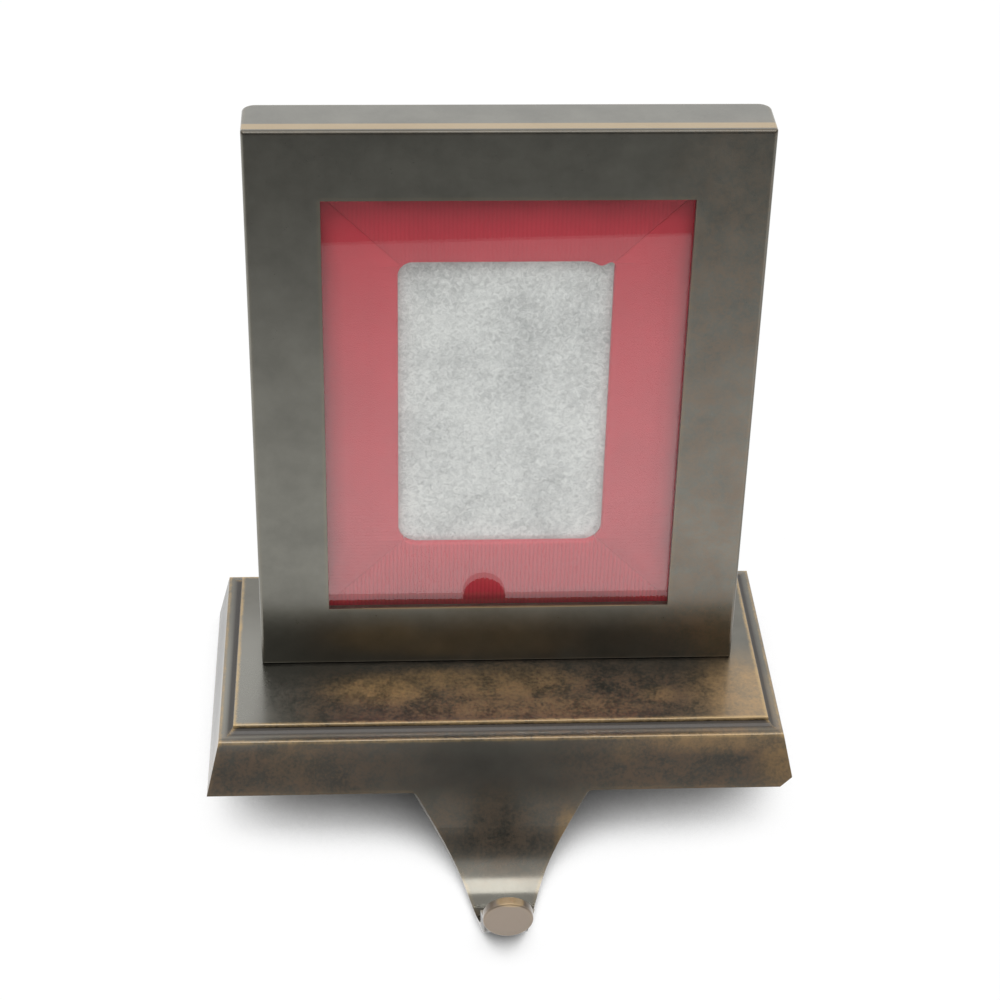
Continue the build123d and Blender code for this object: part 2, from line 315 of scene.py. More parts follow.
def blank_material(name):
    """A new material with an empty tree, what adds nodes to it, and the place on the object."""
    material = bpy.data.materials.new(name)
    material.use_nodes = True
    material.node_tree.nodes.clear()
    add = partial(add_node, material.node_tree)
    return material, add, add("TexCoord").outputs["Object"]


# Where most of a noise's values lie
NOISE_SPREAD = {"From Min": 0.3, "From Max": 0.7}
# How much the second of two mixed patterns counts
SPECKLE_SHARE = 0.45
FADE_SHARE = 0.5
CLOUD_SHARE = 0.3
FIBRE_SHARE = 0.35
# Edges of a casting: how much bare brass they keep below the height where they are handled, and over
# how many millimetres it sets in
UNHANDLED_SHARE = 0.09
HANDLED_FADE = 1.0
# The darkening of a moulding is full over this share of its height
DARK_BAND_CORE = 0.6
# How matt rubbed and bare brass are beside thin patina, and what matt metal loses of its mirror
RUBBED_MATT = 0.6
BARE_MATT = 1.6
MATT_LOSS = 0.2
# What the grain, matt metal and the darkened places change in the roughness
GRAIN_SMOOTHS = 0.04
GRAIN_ROUGHENS = 0.05
MATT_ROUGHENS = 0.08
DARKENING_ROUGHENS = 0.25
# Rolled lines run along a blade: their pattern is stretched that way
ROLLED_WAY = (0.06, 1.0, 1.0)
# The floor's shine dims along this way: from a share of its reach to the front on, and between two
# shares of its reach to the back
SHINE_WAY = (0.35, 1, 0)
SHINE_FULL = -0.3
SHINE_FALLS = -0.2
SHINE_FALLEN = 0.1


def oval(add, place, middle, reach):
    """A soft oval spot in space: one in its middle, nothing past its reach."""
    aside = add("VectorMath", {0: place, 1: middle}, operation="SUBTRACT")
    scaled = add("VectorMath", {0: aside, 1: reach}, operation="DIVIDE")
    away = add("VectorMath", {0: scaled}, operation="LENGTH")
    return add(
        "MapRange", {"Value": away, "From Min": 1.0, "From Max": 0.25}, interpolation_type="SMOOTHSTEP"
    )


def spots_cover(add, place, spots):
    """The strongest of some spots at each place."""
    strongest = 0.0
    for spot in spots:
        middle = [size * MM for size in spot.middle]
        reach = [size * MM for size in spot.reach]
        scaled = add(
            "Math", {0: oval(add, place, middle, reach), 1: spot.strength}, operation="MULTIPLY"
        )
        strongest = add("Math", {0: scaled, 1: strongest}, operation="MAXIMUM")
    return strongest


def patinated_brass(name, look, patina, roughness, wear):
    """Cast brass under a dark patina and wax, worn in places.

    It is a satin mirror, greenish grey where the patina is whole, brown where it is thin and a matt,
    mottled gold where it is rubbed through. Edges are clean brass, a band of the moulding is darkened,
    and listed spots carry painted shade, a painted grey sheen and a painted highlight.
    """
    material, add, place = blank_material(name)
    cloud = add("TexNoise", {"Vector": place, "Scale": 1 / look.cloud, "Detail": 5, "Roughness": 0.6})
    blotch = add(
        "TexNoise",
        {"Vector": place, "Scale": 1 / look.blotch, "Detail": 10, "Roughness": 0.7, "Distortion": 0.5},
    )
    speckle = add(
        "TexNoise", {"Vector": place, "Scale": 1 / look.speckle, "Detail": 5, "Roughness": 0.65}
    )
    grain = add("Mix", {0: SPECKLE_SHARE, 2: blotch, 3: speckle})
    tone = add("MapRange", {"Value": cloud, **NOISE_SPREAD, "To Min": 0.85, "To Max": 1.12})
    whole = add("VectorMath", {0: patina, "Scale": tone}, operation="SCALE")
    stain = add("MapRange", {"Value": grain, "From Min": 0.42, "From Max": 0.57})
    thin = add("Math", {0: spots_cover(add, place, wear.thin), 1: stain}, operation="MULTIPLY")
    patchy = add("MapRange", {"Value": grain, "From Min": 0.28, "From Max": 0.68, "To Min": 0.15})
    rubbed = add("Math", {0: spots_cover(add, place, wear.rubbed), 1: patchy}, operation="MULTIPLY")
    # A ray sent inward meets another face soon only near an outer edge
    inward = add(
        "AmbientOcclusion", {"Distance": look.wear_width}, inside=True, only_local=True, samples=5
    )
    broken = add("MapRange", {"Value": grain, **NOISE_SPREAD, "To Min": -0.08, "To Max": 0.06})
    near_edge = add("Math", {0: inward.outputs["AO"], 1: broken}, operation="SUBTRACT")
    edge = add(
        "MapRange",
        {"Value": near_edge, "From Min": 0.87, "From Max": 0.75},
        interpolation_type="SMOOTHSTEP",
    )
    height = add("SeparateXYZ", {0: place}).outputs["Z"]
    handled = add(
        "MapRange",
        {
            "Value": height,
            "From Min": (wear.handled_over - HANDLED_FADE) * MM,
            "From Max": wear.handled_over * MM,
            "To Min": UNHANDLED_SHARE,
        },
    )
    edge = add("Math", {0: edge, 1: handled}, operation="MULTIPLY")
    worn_clean = add(
        "MapRange",
        {
            "Value": spots_cover(add, place, wear.bare),
            "From Min": 0.35,
            "From Max": 0.65,
            "To Max": 0.55,
        },
    )
    bare = add("Math", {0: edge, 1: worn_clean}, operation="MAXIMUM")
    # The moulding is darkened across a band of height, and the spots of painted shade darken their own
    # places
    middle = (wear.dirt_over + wear.dirt_under) / 2 * MM
    from_middle = add("Math", {0: height, 1: middle}, operation="SUBTRACT")
    aside = add("Math", {0: from_middle}, operation="ABSOLUTE")
    half = (wear.dirt_under - wear.dirt_over) / 2 * MM
    darkening = add(
        "MapRange", {"Value": aside, "From Min": half, "From Max": DARK_BAND_CORE * half, "To Max": 0.9}
    )
    darkening = add("Math", {0: darkening, 1: spots_cover(add, place, wear.dirty)}, operation="MAXIMUM")
    skin = whole
    for cover, over in (
        (thin, look.umber),
        (rubbed, look.rubbed),
        (spots_cover(add, place, wear.buffed), look.buffed),
        (spots_cover(add, place, wear.greyed), look.greyed),
        (darkening, look.grime_and_shade),
        (bare, look.bright),
    ):
        skin = add("Mix", {0: cover, 6: skin, 7: over}, data_type="RGBA")
    # Worn and stained metal scatters light where the waxed patina mirrors it
    matt = add("Math", {0: rubbed, 1: RUBBED_MATT, 2: thin}, operation="MULTIPLY_ADD")
    matt = add("Math", {0: bare, 1: BARE_MATT, 2: matt}, operation="MULTIPLY_ADD")
    metallic = add("Math", {0: matt, 1: -MATT_LOSS, 2: 1.0}, operation="MULTIPLY_ADD")
    uneven = add(
        "MapRange",
        {
            "Value": grain,
            **NOISE_SPREAD,
            "To Min": roughness - GRAIN_SMOOTHS,
            "To Max": roughness + GRAIN_ROUGHENS,
        },
    )
    dull = add("Math", {0: matt, 1: MATT_ROUGHENS, 2: uneven}, operation="MULTIPLY_ADD")
    darkened_roughness = add("Math", {0: darkening, 1: DARKENING_ROUGHENS, 2: dull}, operation="MULTIPLY_ADD")
    smooth = add(
        "Math",
        {0: spots_cover(add, place, wear.polished), 1: look.polish - roughness, 2: darkened_roughness},
        operation="MULTIPLY_ADD",
    )
    pits = add("TexNoise", {"Vector": place, "Scale": 1 / look.pit, "Detail": 3})
    relief = add("Bump", {"Strength": 0.12, "Distance": 0.02 * MM, "Height": pits})
    shader = add(
        "BsdfPrincipled",
        {
            "Base Color": skin,
            "Metallic": metallic,
            "Roughness": smooth,
            "Coat Weight": look.wax,
            "Coat Roughness": 0.14,
            "Normal": relief,
        },
    )
    add("OutputMaterial", {"Surface": shader})
    return material


def sheet_glass(look):
    """Float glass: clear, with a faint green in its edge and sharp, weak mirror images on its faces."""
    material, add, _ = blank_material("Float glass")
    clear = add(
        "BsdfPrincipled",
        {"Base Color": look.tint, "Roughness": 0.0, "IOR": 1.52, "Transmission Weight": 1.0},
    )
    passing = add("BsdfTransparent", {"Color": look.tint})
    path = add("LightPath")
    lighting = add(
        "Math",
        {0: path.outputs["Is Shadow Ray"], 1: path.outputs["Is Diffuse Ray"]},
        operation="MAXIMUM",
    )
    shader = add("MixShader", {0: lighting, 1: clear, 2: passing})
    add("OutputMaterial", {"Surface": shader})
    return material


def grosgrain(look):
    """Grosgrain ribbon, woven over thick cords: silky ribs, painted shade between them, threads across.
    """
    material, add, place = blank_material("Grosgrain ribbon")
    rib = add("Attribute", attribute_name="rib")
    threads = add(
        "TexNoise", {"Vector": place, "Scale": 1 / look.thread, "Detail": 3, "Roughness": 0.6}
    )
    faded = add("TexNoise", {"Vector": place, "Scale": 1 / look.fade, "Detail": 3})
    # Painted shade: the colour darkens from crest to groove with each point's rib height
    red = add("Mix", {0: rib.outputs["Fac"], 6: look.groove, 7: look.crest}, data_type="RGBA")
    mottle = add("Mix", {0: FADE_SHARE, 2: threads, 3: faded})
    tone = add("MapRange", {"Value": mottle, **NOISE_SPREAD, "To Min": 0.86, "To Max": 1.1})
    dyed_and_shaded = add("VectorMath", {0: red, "Scale": tone}, operation="SCALE")
    relief = add("Bump", {"Strength": 0.08, "Distance": 0.04 * MM, "Height": threads})
    shader = add(
        "BsdfPrincipled",
        {
            "Base Color": dyed_and_shaded,
            "Roughness": 0.62,
            "Specular IOR Level": 0.3,
            "Sheen Weight": 0.15,
            "Sheen Roughness": 0.4,
            "Normal": relief,
        },
    )
    add("OutputMaterial", {"Surface": shader})
    return material


def mat_board(look):
    """Mat board: plain grey pulp, seen only at its cut edge."""
    material, add, place = blank_material("Mat board")
    pulp = add("TexNoise", {"Vector": place, "Scale": 1 / look.pulp, "Detail": 4})
    tone = add("Mix", {0: pulp, 6: look.board, 7: look.fleck}, data_type="RGBA")
    shader = add("BsdfPrincipled", {"Base Color": tone, "Roughness": 0.85})
    add("OutputMaterial", {"Surface": shader})
    return material


def fibrous_foam(look):
    """Polyester wadding foam: white strands, painted grey shade in the hollows between them, mottled at
    a millimetre, and clouded.
    """
    material, add, place = blank_material("Fibrous foam")
    strands = add(
        "TexNoise",
        {"Vector": place, "Scale": 1 / look.fibre, "Detail": 8, "Roughness": 0.72, "Distortion": 1.2},
    )
    clouds = add("TexNoise", {"Vector": place, "Scale": 1 / look.cloud, "Detail": 3})
    mottle = add("Mix", {0: CLOUD_SHARE, 2: strands, 3: clouds})
    # Painted shade: grey where the strands' relief is low, mixed with random clouds
    tone = add("MapRange", {"Value": mottle, "From Min": 0.32, "From Max": 0.6})
    white = add("Mix", {0: tone, 6: look.shade, 7: look.pale}, data_type="RGBA")
    relief = add("Bump", {"Strength": 0.6, "Distance": 0.15 * MM, "Height": strands})
    shader = add("BsdfPrincipled", {"Base Color": white, "Roughness": 0.9, "Normal": relief})
    add("OutputMaterial", {"Surface": shader})
    return material


def pressed_felt(look):
    """Pressed wool felt: matt, dark, with short fibres lying every way."""
    material, add, place = blank_material("Pressed felt")
    tufts = add(
        "TexNoise",
        {"Vector": place, "Scale": 1 / look.tuft, "Detail": 8, "Roughness": 0.75, "Distortion": 0.8},
    )
    brown = add("Mix", {0: tufts, 6: look.fibre, 7: look.nap}, data_type="RGBA")
    relief = add("Bump", {"Strength": 0.7, "Distance": 0.12 * MM, "Height": tufts})
    shader = add(
        "BsdfPrincipled",
        {"Base Color": brown, "Roughness": 0.95, "Sheen Weight": 0.3, "Normal": relief},
    )
    add("OutputMaterial", {"Surface": shader})
    return material


def faced_hardboard(look):
    """Hardboard with a black face: pressed fibres under a thin dull coat, scuffed through in places."""
    material, add, place = blank_material("Faced hardboard")
    fibres = add(
        "TexNoise",
        {
            "Vector": place,
            "Scale": 1 / look.board_fibre,
            "Detail": 7,
            "Roughness": 0.7,
            "Distortion": 1.5,
        },
    )
    wear = add("TexNoise", {"Vector": place, "Scale": 1 / look.scuff_patch, "Detail": 6})
    both = add("Mix", {0: FIBRE_SHARE, 2: wear, 3: fibres})
    scuffed = add("MapRange", {"Value": both, "From Min": 0.5, "From Max": 0.68})
    face = add("Mix", {0: scuffed, 6: look.board, 7: look.scuff}, data_type="RGBA")
    dull = add("MapRange", {"Value": fibres, **NOISE_SPREAD, "To Min": 0.48, "To Max": 0.7})
    relief = add("Bump", {"Strength": 0.35, "Distance": 0.06 * MM, "Height": fibres})
    shader = add("BsdfPrincipled", {"Base Color": face, "Roughness": dull, "Normal": relief})
    add("OutputMaterial", {"Surface": shader})
    return material


def stamped_brass(look):
    """Stamped sheet brass: fine rolled lines, a warm shine, and a brown bloom of tarnish."""
    material, add, place = blank_material("Stamped sheet brass")
    along = add("VectorMath", {0: place, 1: ROLLED_WAY}, operation="MULTIPLY")
    rolled = add("TexNoise", {"Vector": along, "Scale": 1 / look.rolled_line, "Detail": 3})
    bloom = add("TexNoise", {"Vector": place, "Scale": 1 / look.bloom, "Detail": 7})
    tarnished = add("MapRange", {"Value": bloom, "From Min": 0.45, "From Max": 0.72})
    brass = add("Mix", {0: tarnished, 6: look.stamped, 7: look.tarnish}, data_type="RGBA")
    dull = add("MapRange", {"Value": rolled, **NOISE_SPREAD, "To Min": 0.28, "To Max": 0.46})
    relief = add("Bump", {"Strength": 0.25, "Distance": 0.01 * MM, "Height": rolled})
    shader = add(
        "BsdfPrincipled", {"Base Color": brass, "Metallic": 1.0, "Roughness": dull, "Normal": relief}
    )
    add("OutputMaterial", {"Surface": shader})
    return material


def plated_steel(look):
    """Zinc-plated steel: a grey shine, clouded by handling, with faint turning marks."""
    material, add, place = blank_material("Plated steel")
    cloud = add("TexNoise", {"Vector": place, "Scale": 1 / look.handling, "Detail": 6})
    tone = add("MapRange", {"Value": cloud, **NOISE_SPREAD, "To Min": 0.75, "To Max": 1.05})
    grey = add("VectorMath", {0: look.steel, "Scale": tone}, operation="SCALE")
    marks = add("TexNoise", {"Vector": place, "Scale": 1 / look.turning_mark, "Detail": 2})
    dull = add("MapRange", {"Value": marks, **NOISE_SPREAD, "To Min": 0.26, "To Max": 0.42})
    shader = add("BsdfPrincipled", {"Base Color": grey, "Metallic": 1.0, "Roughness": dull})
    add("OutputMaterial", {"Surface": shader})
    return material


def pale_floor(look):
    """Matt white board: white where the camera or a shine sees it, with the holder's soft shadow,
    deepened by a painted shadow near it.
    """
    material, add, place = blank_material("White board")
    path = add("LightPath")
    seen = add(
        "Math",
        {0: path.outputs["Is Camera Ray"], 1: path.outputs["Is Glossy Ray"]},
        operation="MAXIMUM",
    )
    seen = add("Math", {0: seen, 1: path.outputs["Is Transmission Ray"]}, operation="MAXIMUM")
    sky = add("AmbientOcclusion", {"Distance": look.shadow_reach}, samples=10)
    away = add(
        "MapRange",
        {"Value": sky.outputs["AO"], "From Min": 0.28, "From Max": 0.8, "To Max": 0.97},
        interpolation_type="SMOOTHSTEP",
    )
    # Painted shadow: the board's own white is darkened where the holder closes off its sky
    dim = add("MapRange", {"Value": sky.outputs["AO"], "From Min": 0.2, "From Max": 0.6, "To Min": 0.3})
    white = add("Math", {0: seen, 1: away}, operation="MULTIPLY")
    pale = add("VectorMath", {0: look.floor, "Scale": dim}, operation="SCALE")
    matt = add("BsdfDiffuse", {"Color": pale})
    # The floor dims toward its front left, so a mirror image of it fades upward
    backward = add("VectorMath", {0: place, 1: SHINE_WAY}, operation="DOT_PRODUCT")
    shine = add(
        "MapRange",
        {
            "Value": backward,
            "From Min": -look.floor_front,
            "From Max": SHINE_FULL * look.floor_front,
            "To Min": look.far_glow,
            "To Max": look.glow,
        },
    )
    shine = add(
        "MapRange",
        {
            "Value": backward,
            "From Min": SHINE_FALLS * look.floor_back,
            "From Max": SHINE_FALLEN * look.floor_back,
            "To Min": shine,
            "To Max": look.back_glow,
        },
    )
    level = add("Mix", {0: path.outputs["Is Glossy Ray"], 2: 1.0, 3: shine})
    lit = add("Emission", {"Color": (1, 1, 1), "Strength": level})
    board = add("MixShader", {0: white, 1: matt, 2: lit})
    side = add("NewGeometry")
    gone = add("BsdfTransparent")
    shader = add("MixShader", {0: side.outputs["Backfacing"], 1: board, 2: gone})
    add("OutputMaterial", {"Surface": shader})
    return material


def add_piece(name, mesh, material, node):
    """Puts a mesh in the scene as a piece that rides on the holder and stands for a node."""
    mesh.materials.clear()
    mesh.materials.append(material)
    piece = bpy.data.objects.new(name, mesh)
    bpy.context.scene.collection.objects.link(piece)
    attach(piece, BODY)
    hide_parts(node)
    return piece


def dress(node, material):
    """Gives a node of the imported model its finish."""
    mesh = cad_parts[node].data
    mesh.materials.clear()
    mesh.materials.append(material)


def closed_mesh(name, points, faces, smooth_angle):
    """A mesh with its faces turned outward, smooth but for edges sharper than the angle."""
    mesh = bpy.data.meshes.new(name)
    mesh.from_pydata(points, [], faces)
    shape = bmesh.new()
    shape.from_mesh(mesh)
    bmesh.ops.recalc_face_normals(shape, faces=shape.faces)
    shape.to_mesh(mesh)
    shape.free()
    mesh.shade_smooth()
    mesh.set_sharp_from_angle(angle=smooth_angle)
    return mesh


# The four strips of the mat in turn round the window: the way along each, the way in to the window
# and how much of its ribs' height and painted groove shade it keeps, on the upright strips at their
# lower ends
Side = namedtuple("Side", "name along inward ribbed")
SIDES = (
    Side("bottom", Vector((1, 0, 0)), Vector((0, 0, 1)), 1.0),
    Side("right", Vector((0, 0, 1)), Vector((-1, 0, 0)), 0.6),
    Side("top", Vector((-1, 0, 0)), Vector((0, 0, -1)), 0.4),
    Side("left", Vector((0, 0, -1)), Vector((1, 0, 0)), 0.6),
)
BACKWARD = Vector((0, 1, 0))
# A rib's mesh steps and roundness, the least of its height that a strip pulled flat keeps, how much
# ribs differ in height and over what length, and which height gives a strip's hidden parts their tone
# between the crest colour and the painted shade of the grooves
RIB_STEPS = 8
RIB_ROUNDNESS = 0.6
LEAST_RIBBED = 0.15
RIB_UNEVEN = 0.2
RIB_UNEVEN_OVER = 2 * MM
HIDDEN_RIB = 0.4
# Room before the crests, room behind the ribbon, and how far a mitre's hem stands behind the strip
CREST_GAP = 0.02 * MM
BOARD_GAP = 0.03 * MM
HEM_STEP = 0.02 * MM
# A strip's least width and its hem, in thicknesses, and the most of its width that its outer edge, its
# roll and its hem may take
LEAST_WIDTH = 1.2
HEM_WIDTH = 0.7
EDGE_LIMIT = 0.2
ROLL_LIMIT = 0.4
HEM_LIMIT = 0.3
# Where a strip's front has points across its width, the turns of its roll in degrees, and the steps of
# a round corner
FRONT_PARTS = (0.35, 0.65)
ROLL_TURNS = (0, 30, 60, 90)
CORNER_STEPS = 8
SMOOTH_ANGLE = math.radians(50)
# A point of a node farther in from its rim than this is on its window
HAIR = 0.01 * MM
# A pitted skin: how many grains wide its dents are, how deep it lies, and what the dents and the grain
# add to that
DENT_GRAINS = 2.3
PIT_MEAN = 0.4
PIT_DENTS = 0.35
PIT_GRAIN = 0.5


def window_box(node):
    """The lowest and highest corner of the window in a flat node that stands upright."""
    low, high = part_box(node)
    inner = [
        vertex.co
        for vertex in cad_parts[node].data.vertices
        if low.x + HAIR < vertex.co.x < high.x - HAIR and low.z + HAIR < vertex.co.z < high.z - HAIR
    ]
    return (
        Vector((min(p.x for p in inner), low.y, min(p.z for p in inner))),
        Vector((max(p.x for p in inner), high.y, max(p.z for p in inner))),
    )


def strip_reach(along, half, border, corner, look):
    """How far a strip reaches in at a place along it, and whether it ends at the window there."""
    mitre = half - abs(along) - look.mitre_gap / math.sqrt(2)
    past = abs(along) - (half - border - corner)
    if past <= 0:
        edge = border
    elif past < corner:
        edge = border + corner - math.sqrt(corner ** 2 - past ** 2)
    else:
        edge = border + corner
    return min(mitre, edge), edge <= mitre


def strip_section(reach, groove, depth, roll, look):
    """A strip's section as (inward, back) pairs: over the front, round the window's edge and back."""
    edge = min(look.mitre_roll, EDGE_LIMIT * reach)
    roll = min(roll, ROLL_LIMIT * reach)
    hem = min(HEM_WIDTH * look.thickness, HEM_LIMIT * reach)
    points = [(0, look.thickness), (0, groove + edge), (edge, groove)]
    points += [(reach * part, groove) for part in FRONT_PARTS if edge < reach * part < reach - roll]
    for turn in ROLL_TURNS:
        angle = math.radians(turn)
        points.append((reach - roll + roll * math.sin(angle), groove + roll - roll * math.cos(angle)))
    return points + [(reach, depth), (reach - hem, depth), (reach - hem, look.thickness)]


def ribbon_strip(side, low, high, window, corners, look):
    """One mitred strip of ribbon, ribbed across its length: its mesh, its length and its width."""
    middle = (low + high) / 2
    half_size = (high - low) / 2
    half = abs(side.along.dot(half_size))
    border = abs(side.inward.dot(half_size)) - abs(side.inward.dot(window[1] - window[0])) / 2
    start = Vector((middle.x, low.y, middle.z)) - side.inward * abs(side.inward.dot(half_size))
    ribs = round(2 * half / look.rib_pitch)
    steps = ribs * RIB_STEPS
    points, heights, loops = [], [], []
    for step in range(steps + 1):
        along = half * (2 * step / steps - 1)
        corner = corners[0] if along < 0 else corners[1]
        reach, at_window = strip_reach(along, half, border, corner, look)
        if reach < LEAST_WIDTH * look.thickness:
            continue
        ribbed = side.ribbed
        if side.along.z:
            ribbed *= max(LEAST_RIBBED, 1 - (half + along * side.along.z) / look.flat_over)
        rib = 1 - ribbed * (1 - abs(math.sin(math.pi * step / RIB_STEPS)) ** RIB_ROUNDNESS)
        uneven = (1 + noise.noise(Vector((along / RIB_UNEVEN_OVER, border, 0)))) / 2
        groove = look.rib_height * (1 - rib * (1 - RIB_UNEVEN + RIB_UNEVEN * uneven)) + CREST_GAP
        depth = high.y - low.y - BOARD_GAP if at_window else look.thickness + HEM_STEP
        roll = look.window_roll if at_window else look.mitre_roll
        if side.name == "top" and along < 0:
            loose = (along + half - border - look.sag_place) / look.sag_reach
            reach += look.sag * math.exp(-loose ** 2) if at_window else 0
        section = strip_section(reach, groove, depth, roll, look)
        loops.append(range(len(points), len(points) + len(section)))
        for inward, back in section:
            points.append(start + side.along * along + side.inward * inward + BACKWARD * back)
            heights.append(rib if back < look.thickness else HIDDEN_RIB)
    faces = [tuple(loops[0]), tuple(reversed(loops[-1]))]
    for here, there in zip(loops, loops[1:]):
        count = len(here)
        faces += [
            (here[i], there[i], there[(i + 1) % count], here[(i + 1) % count]) for i in range(count)
        ]
    mesh = closed_mesh("ribbon_" + side.name, points, faces, SMOOTH_ANGLE)
    # The rib attribute carries the rib height that paints shade into the grooves
    mesh.attributes.new("rib", "FLOAT", "POINT").data.foreach_set("value", heights)
    return mesh, 2 * half, border


def rounded_outline(low, high, corner):
    """Points round an upright rectangle with round corners."""
    points = []
    for turn, x, z in (
        (0, high.x - corner, high.z - corner),
        (90, low.x + corner, high.z - corner),
        (180, low.x + corner, low.z + corner),
        (270, high.x - corner, low.z + corner),
    ):
        for step in range(CORNER_STEPS + 1):
            angle = math.radians(turn + 90 * step / CORNER_STEPS)
            points.append(Vector((x + corner * math.cos(angle), low.y, z + corner * math.sin(angle))))
    return points


def card_mesh(low, high, window, look):
    """The board behind the strips: a flat ring, let back by the ribbon that wraps its window."""
    front = low + BACKWARD * (look.thickness + BOARD_GAP)
    wrap = Vector((look.thickness, 0, look.thickness))
    opening = rounded_outline(window[0] - wrap, window[1] + wrap, look.window_corner)
    rim = ((low.x, low.z), (high.x, low.z), (high.x, high.z), (low.x, high.z))
    outline = [Vector((x, low.y, z)) for x, z in rim]
    shape = bmesh.new()
    edges = []
    for ring in (outline, opening):
        corners = [shape.verts.new((point.x, front.y, point.z)) for point in ring]
        edges += [shape.edges.new((a, b)) for a, b in zip(corners, corners[1:] + corners[:1])]
    bmesh.ops.triangle_fill(shape, edges=edges, use_beauty=True)
    raised = bmesh.ops.extrude_face_region(shape, geom=shape.faces[:])
    moved = [part for part in raised["geom"] if isinstance(part, bmesh.types.BMVert)]
    bmesh.ops.translate(shape, verts=moved, vec=BACKWARD * (high.y - front.y))
    bmesh.ops.recalc_face_normals(shape, faces=shape.faces)
    mesh = bpy.data.meshes.new("mat_card")
    shape.to_mesh(mesh)
    shape.free()
    return mesh


def pitted_copy(node, cell, grain, depth):
    """A node's solid in fine cells, its skin pitted inward at the size of the grain."""
    source = bpy.data.objects.new("source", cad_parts[node].data.copy())
    bpy.context.scene.collection.objects.link(source)
    cells = source.modifiers.new("Cells", "REMESH")
    cells.mode = "VOXEL"
    cells.voxel_size = cell
    evaluated = source.evaluated_get(bpy.context.evaluated_depsgraph_get())
    mesh = bpy.data.meshes.new_from_object(evaluated)
    bpy.data.objects.remove(source)
    moved = []
    for vertex in mesh.vertices:
        dents = noise.noise(vertex.co / (DENT_GRAINS * grain))
        fine = noise.noise(vertex.co / grain)
        pit = min(max(PIT_MEAN + PIT_DENTS * dents + PIT_GRAIN * fine, 0), 1)
        moved.extend(vertex.co - vertex.normal * depth * pit)
    mesh.vertices.foreach_set("co", moved)
    mesh.shade_smooth()
    return mesh


class HOLDER_OT_castings(Operator):
    """Finishes the plinth with its hook and the picture frame in patinated brass"""

    bl_idname = "holder.castings"
    bl_label = "Finish castings"

    def execute(self, context):
        look = context.scene.holder_castings
        plinth = patinated_brass(
            "Patinated brass plinth", look, look.plinth_patina, look.plinth_roughness, PLINTH_WEAR
        )
        dress("plinth_with_hook", plinth)
        upright = patinated_brass(
            "Patinated brass frame", look, look.frame_patina, look.frame_roughness, FRAME_WEAR
        )
        dress("picture_frame", upright)
        return {"FINISHED"}


class HOLDER_OT_glass(Operator):
    """Finishes the glass pane"""

    bl_idname = "holder.glass"
    bl_label = "Finish glass"

    def execute(self, context):
        dress("glass_pane", sheet_glass(context.scene.holder_glass))
        return {"FINISHED"}


class HOLDER_OT_ribbon_mat(Operator):
    """Makes the mat: a board with a window and four mitred strips of ribbon over it"""

    bl_idname = "holder.ribbon_mat"
    bl_label = "Make ribbon mat"

    def execute(self, context):
        look = context.scene.holder_ribbon
        low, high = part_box("ribbon_mat")
        window = window_box("ribbon_mat")
        board = card_mesh(low, high, window, look)
        card = add_piece("mat_card", board, mat_board(look), "ribbon_mat")
        cloth = grosgrain(look)
        neat, low_round, pulled = look.window_corner, look.lower_corner, look.pulled_corner
        corners = ((low_round, low_round), (low_round, pulled), (pulled, neat), (neat, low_round))
        for side, ends in zip(SIDES, corners):
            mesh, cut_length, border = ribbon_strip(side, low, high, window, ends, look)
            strip = add_piece("ribbon_" + side.name, mesh, cloth, "ribbon_mat")
        return {"FINISHED"}


class HOLDER_OT_foam_sheet(Operator):
    """Makes the white foam sheet that fills the window"""

    bl_idname = "holder.foam_sheet"
    bl_label = "Make foam sheet"

    def execute(self, context):
        look = context.scene.holder_foam
        mesh = pitted_copy("foam_sheet", look.cell, look.fibre, look.pit_depth)
        foam = add_piece("foam_fill", mesh, fibrous_foam(look), "foam_sheet")
        return {"FINISHED"}


class HOLDER_OT_felt_pad(Operator):
    """Makes the felt under the plinth"""

    bl_idname = "holder.felt_pad"
    bl_label = "Make felt pad"

    def execute(self, context):
        look = context.scene.holder_felt
        mesh = pitted_copy("felt_pad", look.cell, look.tuft, look.nap_depth)
        felt = add_piece("felt_sheet", mesh, pressed_felt(look), "felt_pad")
        return {"FINISHED"}


class HOLDER_OT_back_fittings(Operator):
    """Finishes the back panel, the turn buttons and the screws"""

    bl_idname = "holder.back_fittings"
    bl_label = "Finish back fittings"

    def execute(self, context):
        look = context.scene.holder_back
        dress("back_panel", faced_hardboard(look))
        brass = stamped_brass(look)
        steel = plated_steel(look)
        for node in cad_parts:
            if node.endswith("screws"):
                dress(node, steel)
            elif node.startswith("turn_button"):
                dress(node, brass)
        return {"FINISHED"}


# How far in from the casting's back its heel is looked for, the watts on a square metre that make an
# area lamp as bright as white, and what is too close for the camera to see
HEEL_BAND = 0.1 * MM
WHITE_LAMP = 4
NEAR_CLIP = 10 * MM


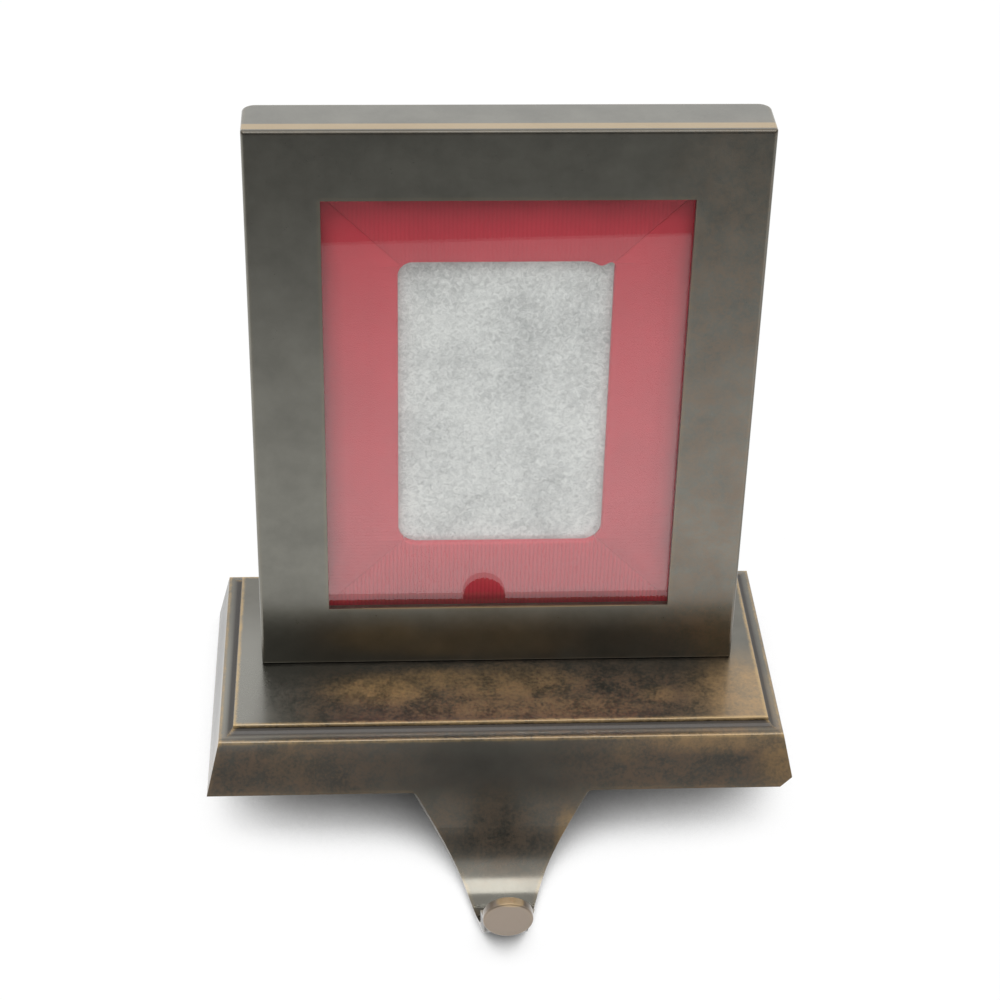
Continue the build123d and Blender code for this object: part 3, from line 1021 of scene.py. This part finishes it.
class HOLDER_OT_stage(Operator):
    """Sets the floor, the light and the camera

    The holder leans on its hook and on its back foot edge, as it stands on a table, so the floor
    runs through those two.
    """

    bl_idname = "holder.stage"
    bl_label = "Set stage"

    def execute(self, context):
        look = context.scene.holder_stage
        scene = context.scene
        scene.view_settings.view_transform = "Standard"
        self.lay_floor(scene, look)
        self.light_room(scene, look)
        self.hang_softbox(scene, look)
        self.place_camera(scene, look)
        return {"FINISHED"}

    def lay_floor(self, scene, look):
        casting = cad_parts["plinth_with_hook"].data
        back = max(vertex.co.y for vertex in casting.vertices)
        heel = min(vertex.co.z for vertex in casting.vertices if vertex.co.y > back - HEEL_BAND)
        fall = max(
            (heel - vertex.co.z) / (back - vertex.co.y)
            for vertex in casting.vertices
            if vertex.co.y < 0
        )
        corners = []
        for x, y in ((-1, -1), (1, -1), (1, 1), (-1, 1)):
            reach = look.floor_back if y > 0 else look.floor_front + x * look.floor_skew
            drop = fall * (back - y * reach)
            corners.append((x * look.floor_side, y * reach, heel - drop - look.floor_gap))
        mesh = bpy.data.meshes.new("floor")
        mesh.from_pydata(corners, [], [(0, 1, 2, 3)])
        mesh.materials.append(pale_floor(look))
        floor = bpy.data.objects.new("floor", mesh)
        scene.collection.objects.link(floor)

    def light_room(self, scene, look):
        world = bpy.data.worlds.new("White room with a dim front")
        world.use_nodes = True
        world.node_tree.nodes.clear()
        add = partial(add_node, world.node_tree)
        way = add("TexCoord").outputs["Generated"]
        parts = add("SeparateXYZ", {0: way})
        # The walls brighten from the front to the back, and the ceiling starts 30 degrees up
        room = add(
            "MapRange",
            {
                "Value": parts.outputs["Y"],
                "From Min": -0.88,
                "From Max": 0.4,
                "To Min": look.front_room,
                "To Max": look.back_room,
            },
        )
        ceiling = add(
            "MapRange",
            {"Value": parts.outputs["Z"], "From Min": 0.5, "From Max": 0.62, "To Max": look.ceiling},
        )
        brighter = add("Math", {0: room, 1: ceiling}, operation="MAXIMUM")
        path = add("LightPath")
        level = add("Mix", {0: path.outputs["Is Camera Ray"], 2: brighter, 3: 1.0})
        light = add("Background", {"Color": (1, 1, 1), "Strength": level})
        add("OutputWorld", {"Surface": light})
        scene.world = world

    def hang_softbox(self, scene, look):
        light = bpy.data.lights.new("Softbox", "AREA")
        light.shape = "RECTANGLE"
        light.size = look.softbox_width
        light.size_y = look.softbox_depth
        light.energy = WHITE_LAMP * look.softbox_width * look.softbox_depth * look.softbox
        lamp = bpy.data.objects.new("Softbox", light)
        lamp.location = (0, -look.softbox_front, look.softbox_height)
        lamp.visible_camera = False
        scene.collection.objects.link(lamp)

    def place_camera(self, scene, look):
        lens = bpy.data.cameras.new("Camera")
        lens.sensor_fit = "HORIZONTAL"
        lens.lens = look.lens
        lens.clip_start = NEAR_CLIP
        camera = bpy.data.objects.new("Camera", lens)
        down, roll, right = look.aim
        turn = Matrix.Rotation(-right, 4, "Z")
        turn @= Matrix.Rotation(math.pi / 2 - down, 4, "X")
        turn @= Matrix.Rotation(roll, 4, "Z")
        camera.matrix_world = Matrix.Translation(look.eye) @ turn
        scene.collection.objects.link(camera)
        scene.camera = camera


LOOKS = (
    ("holder_castings", CastingLook),
    ("holder_glass", GlassLook),
    ("holder_ribbon", RibbonLook),
    ("holder_foam", FoamLook),
    ("holder_felt", FeltLook),
    ("holder_back", BackLook),
    ("holder_stage", StageLook),
)
STEPS = (
    HOLDER_OT_castings,
    HOLDER_OT_glass,
    HOLDER_OT_ribbon_mat,
    HOLDER_OT_foam_sheet,
    HOLDER_OT_felt_pad,
    HOLDER_OT_back_fittings,
    HOLDER_OT_stage,
)


class HOLDER_PT_looks(Panel):
    """Lists the steps that dress the holder, each with its sizes and colours"""

    bl_idname = "HOLDER_PT_looks"
    bl_label = "Stocking holder"
    bl_space_type = "VIEW_3D"
    bl_region_type = "UI"
    bl_category = "Holder"

    def draw(self, context):
        for step, (name, look) in zip(STEPS, LOOKS):
            box = self.layout.box()
            box.operator(step.bl_idname)
            for key in look.__annotations__:
                box.prop(getattr(context.scene, name), key)


def register():
    for name, look in LOOKS:
        bpy.utils.register_class(look)
        setattr(bpy.types.Scene, name, PointerProperty(type=look))
    for step in STEPS:
        bpy.utils.register_class(step)
    bpy.utils.register_class(HOLDER_PT_looks)


def unregister():
    bpy.utils.unregister_class(HOLDER_PT_looks)
    for step in reversed(STEPS):
        bpy.utils.unregister_class(step)
    for name, look in reversed(LOOKS):
        delattr(bpy.types.Scene, name)
        bpy.utils.unregister_class(look)


def main():
    register()
    bpy.ops.holder.castings()
    bpy.ops.holder.glass()
    bpy.ops.holder.ribbon_mat()
    bpy.ops.holder.foam_sheet()
    bpy.ops.holder.felt_pad()
    bpy.ops.holder.back_fittings()
    bpy.ops.holder.stage()


if __name__ == "__main__":
    main()
